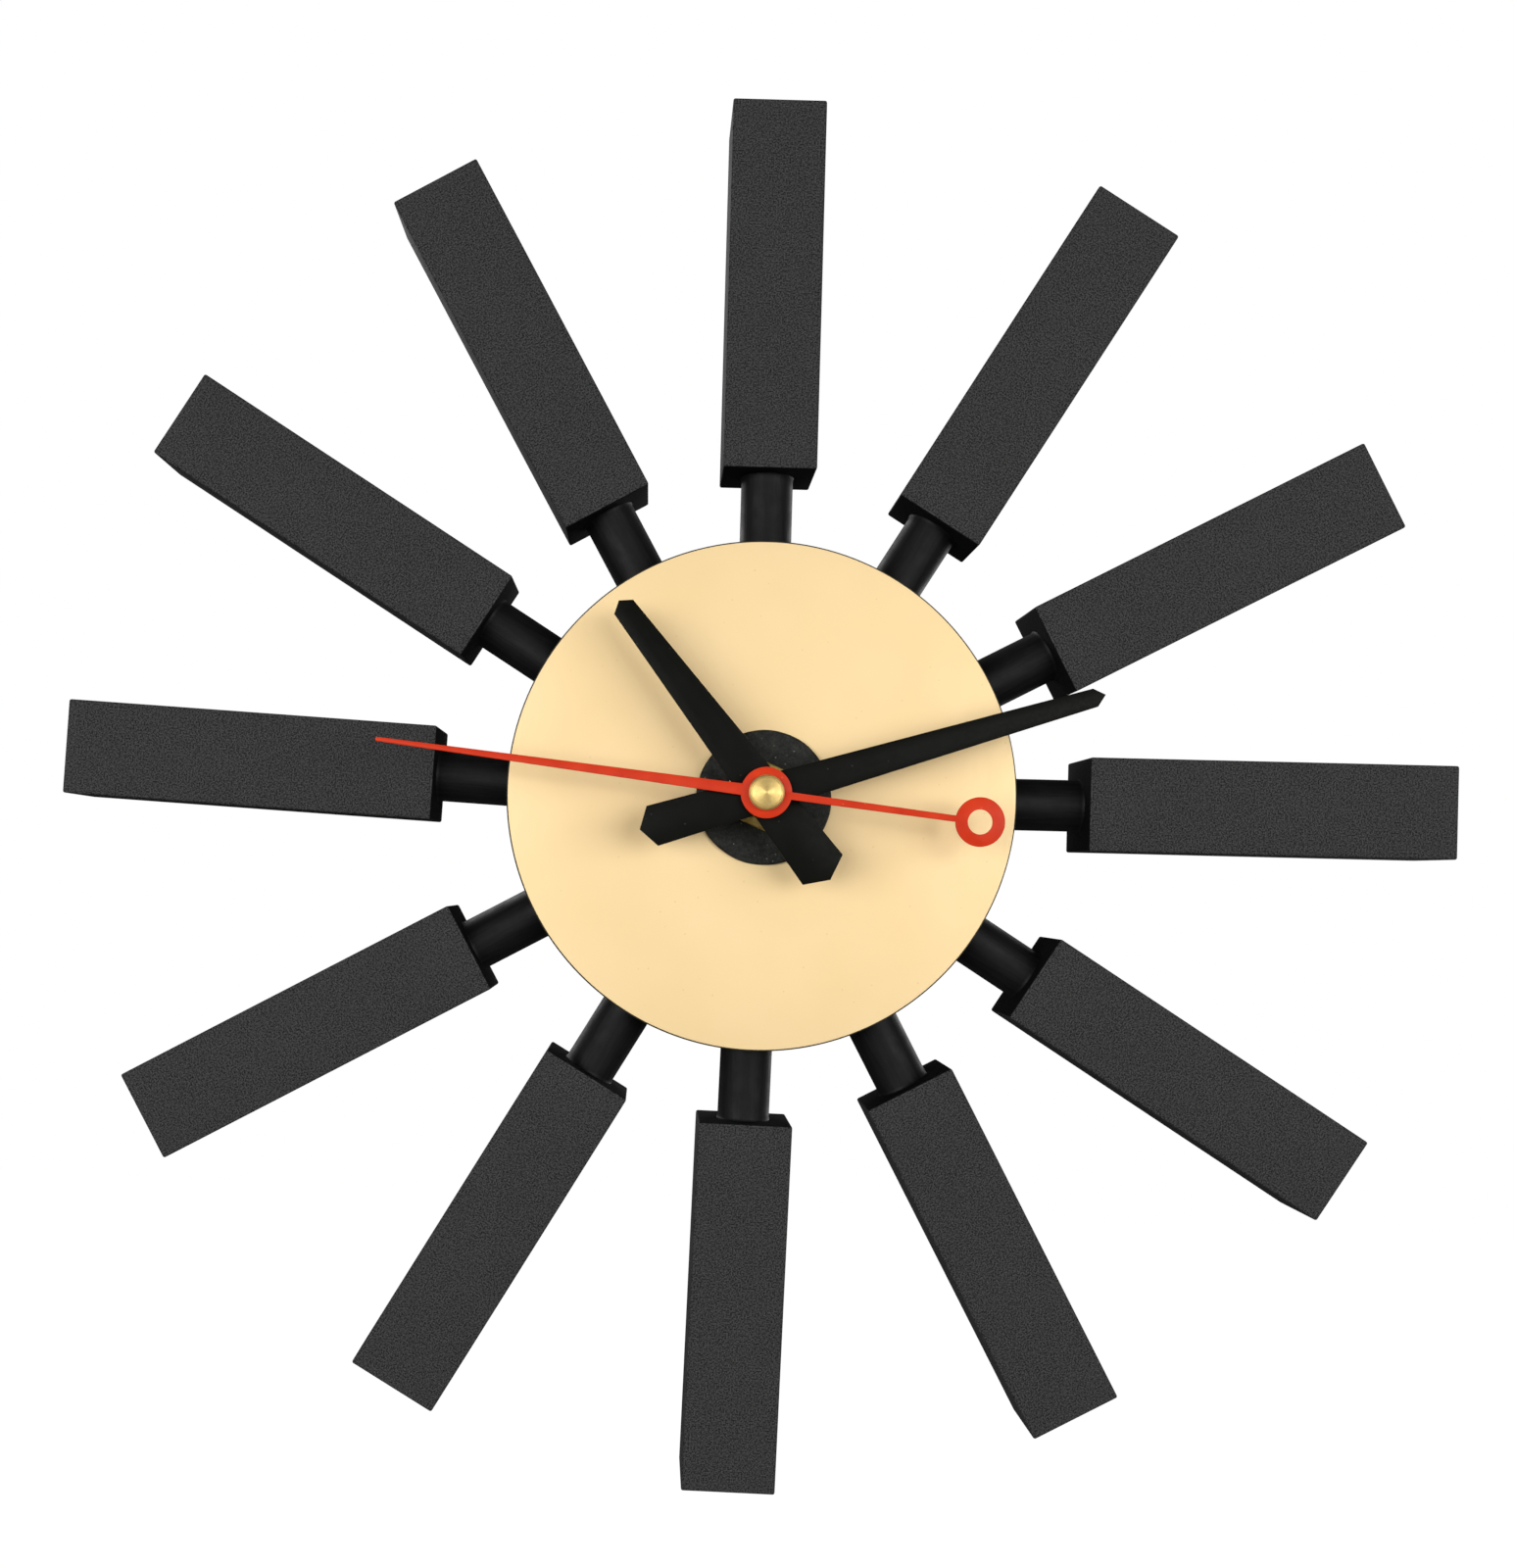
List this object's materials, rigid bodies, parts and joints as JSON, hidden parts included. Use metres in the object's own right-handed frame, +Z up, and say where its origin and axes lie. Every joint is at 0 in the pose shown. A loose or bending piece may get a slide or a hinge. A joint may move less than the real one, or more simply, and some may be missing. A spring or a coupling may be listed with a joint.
{
  "type": "sunburst wall clock",
  "caption": "Sunburst wall clock: square black blocks on dowels around a round hub with a plain satin brass dial, tapered hands and a battery quartz movement.",
  "frame": {"origin": "where the hand axis meets the wall plane, in the middle of the hub's back face", "axes": "+Z up, towards the block at twelve o'clock; the dial faces -Y and the back lies on the wall at Y = 0; +X to the right seen from the front"},
  "size_m": [0.2852, 0.0562, 0.285],
  "materials": {
    "black_wood": "matte black stain, fine grain",
    "dowel_wood": "satin black lacquer",
    "hub_wood": "matte black paint on turned fibreboard",
    "satin_brass": "pale satin, fine brushed",
    "turned_brass": "turned, bright",
    "dark_rubber": "matte",
    "black_lacquer": "satin black lacquer",
    "red_lacquer": "gloss orange red lacquer",
    "plated_steel": "zinc plated",
    "case_plastic": "fine spark texture",
    "white_plastic": "natural acetal",
    "steel_arbor": "ground",
    "ferrite": "sintered",
    "stator_iron": "annealed",
    "copper": "enamelled wire",
    "board": "solder mask",
    "cell_wrap": "plain sleeve"
  },
  "bodies": {
    "root": {"block_01": "black_wood", "dowel_01": "dowel_wood", "block_02": "black_wood", "dowel_02": "dowel_wood", "block_03": "black_wood", "dowel_03": "dowel_wood", "block_04": "black_wood", "dowel_04": "dowel_wood", "block_05": "black_wood", "dowel_05": "dowel_wood", "block_06": "black_wood", "dowel_06": "dowel_wood", "block_07": "black_wood", "dowel_07": "dowel_wood", "block_08": "black_wood", "dowel_08": "dowel_wood", "block_09": "black_wood", "dowel_09": "dowel_wood", "block_10": "black_wood", "dowel_10": "dowel_wood", "block_11": "black_wood", "dowel_11": "dowel_wood", "block_12": "black_wood", "dowel_12": "dowel_wood", "hub_drum": "hub_wood", "dial_disc": "satin_brass", "hanger_plate": "plated_steel", "hanger_screws": "plated_steel", "dial_washer": "dark_rubber", "shaft_nut": "turned_brass", "threaded_bush": "turned_brass", "stator": "stator_iron", "coil_bobbin": "white_plastic", "coil_winding": "copper", "circuit_board": "board", "quartz_crystal": "plated_steel", "contact_positive": "plated_steel", "contact_negative": "plated_steel", "movement_front_shell": "case_plastic", "movement_rear_shell": "case_plastic", "middle_plate": "white_plastic"},
    "second": {"second_hand": "red_lacquer", "second_boss": "turned_brass", "second_wheel": "white_plastic"},
    "minute": {"minute_hand": "black_lacquer", "minute_wheel": "white_plastic"},
    "hour": {"hour_hand": "black_lacquer", "hour_wheel": "white_plastic"},
    "third": {"third_wheel": "white_plastic"},
    "intermediate": {"intermediate_wheel": "white_plastic"},
    "rotor": {"rotor_pinion": "white_plastic", "rotor_magnet": "ferrite"},
    "motion": {"motion_wheel": "white_plastic", "setting_knob": "case_plastic"},
    "cell": {"battery": "cell_wrap"}
  },
  "joints": [
    {"name": "second_turn", "type": "hinge", "parent": "root", "child": "second", "pos_m": [0, -0.03, 0], "axis": [0, 1, 0], "continuous": true},
    {"name": "minute_turn", "type": "hinge", "parent": "root", "child": "minute", "pos_m": [0, -0.03, 0], "axis": [0, 1, 0], "continuous": true},
    {"name": "hour_turn", "type": "hinge", "parent": "root", "child": "hour", "pos_m": [0, -0.03, 0], "axis": [0, 1, 0], "continuous": true},
    {"name": "third_turn", "type": "hinge", "parent": "root", "child": "third", "pos_m": [-0.01026, -0.03, 0.00275], "axis": [0, 1, 0], "continuous": true},
    {"name": "intermediate_turn", "type": "hinge", "parent": "root", "child": "intermediate", "pos_m": [0.00562, -0.03, 0.0067], "axis": [0, 1, 0], "continuous": true},
    {"name": "rotor_turn", "type": "hinge", "parent": "root", "child": "rotor", "pos_m": [0.01126, -0.03, 0.00876], "axis": [0, 1, 0], "continuous": true},
    {"name": "motion_turn", "type": "hinge", "parent": "root", "child": "motion", "pos_m": [0.01152, -0.03, 0], "axis": [0, 1, 0], "continuous": true},
    {"name": "battery_lift_out", "type": "slide", "parent": "root", "child": "cell", "axis": [0, 1, 0], "range_m": [0, 0.03]}
  ],
  "couplings": [
    {"joint": "minute_turn", "follows": "second_turn", "ratio": 0.016667},
    {"joint": "hour_turn", "follows": "second_turn", "ratio": 0.0013889},
    {"joint": "third_turn", "follows": "second_turn", "ratio": -0.13333},
    {"joint": "intermediate_turn", "follows": "second_turn", "ratio": -6},
    {"joint": "rotor_turn", "follows": "second_turn", "ratio": 30},
    {"joint": "motion_turn", "follows": "second_turn", "ratio": -0.0055556}
  ]
}
